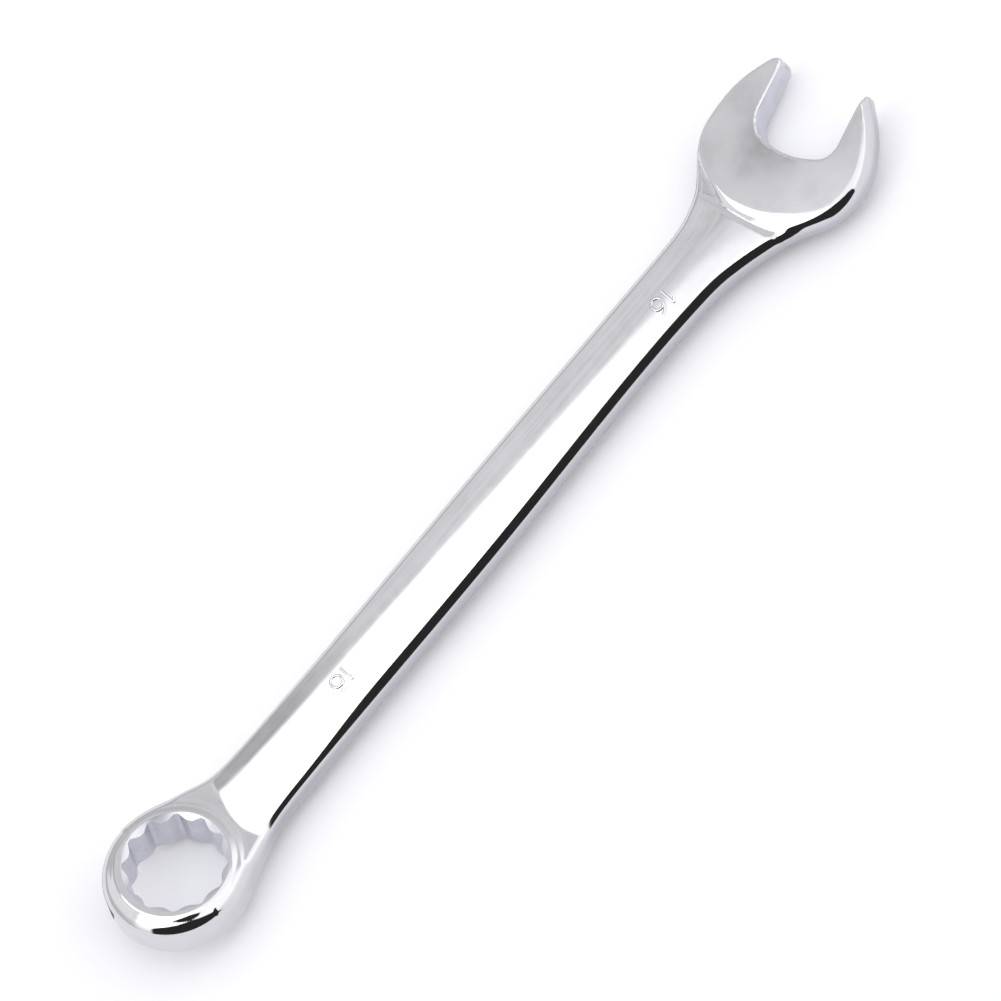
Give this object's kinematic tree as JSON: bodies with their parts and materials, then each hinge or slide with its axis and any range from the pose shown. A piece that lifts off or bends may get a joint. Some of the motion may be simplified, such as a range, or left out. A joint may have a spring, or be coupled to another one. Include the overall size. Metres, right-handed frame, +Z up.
{
  "type": "combination wrench",
  "caption": "Chrome-plated combination wrench: an open end turned fifteen degrees from the shank, and a raised, leaning ring end with a bi-hexagonal bore.",
  "frame": {"origin": "middle of the bounding box's underside, below the middle of the shank", "axes": "+X along the shank toward the open end, +Z up out of the face that carries the size numerals, +Y to the left of +X"},
  "size_m": [0.1894, 0.0314, 0.0146],
  "materials": {
    "chrome": "polished chrome plate over forged steel, satin inside the bore"
  },
  "bodies": {
    "root": {"shank": "chrome", "ring_head": "chrome", "ring_neck": "chrome", "jaw_head": "chrome", "jaw_neck": "chrome", "jaw_size_one": "chrome", "jaw_size_six": "chrome", "ring_size_one": "chrome", "ring_size_six": "chrome"}
  },
  "joints": []
}
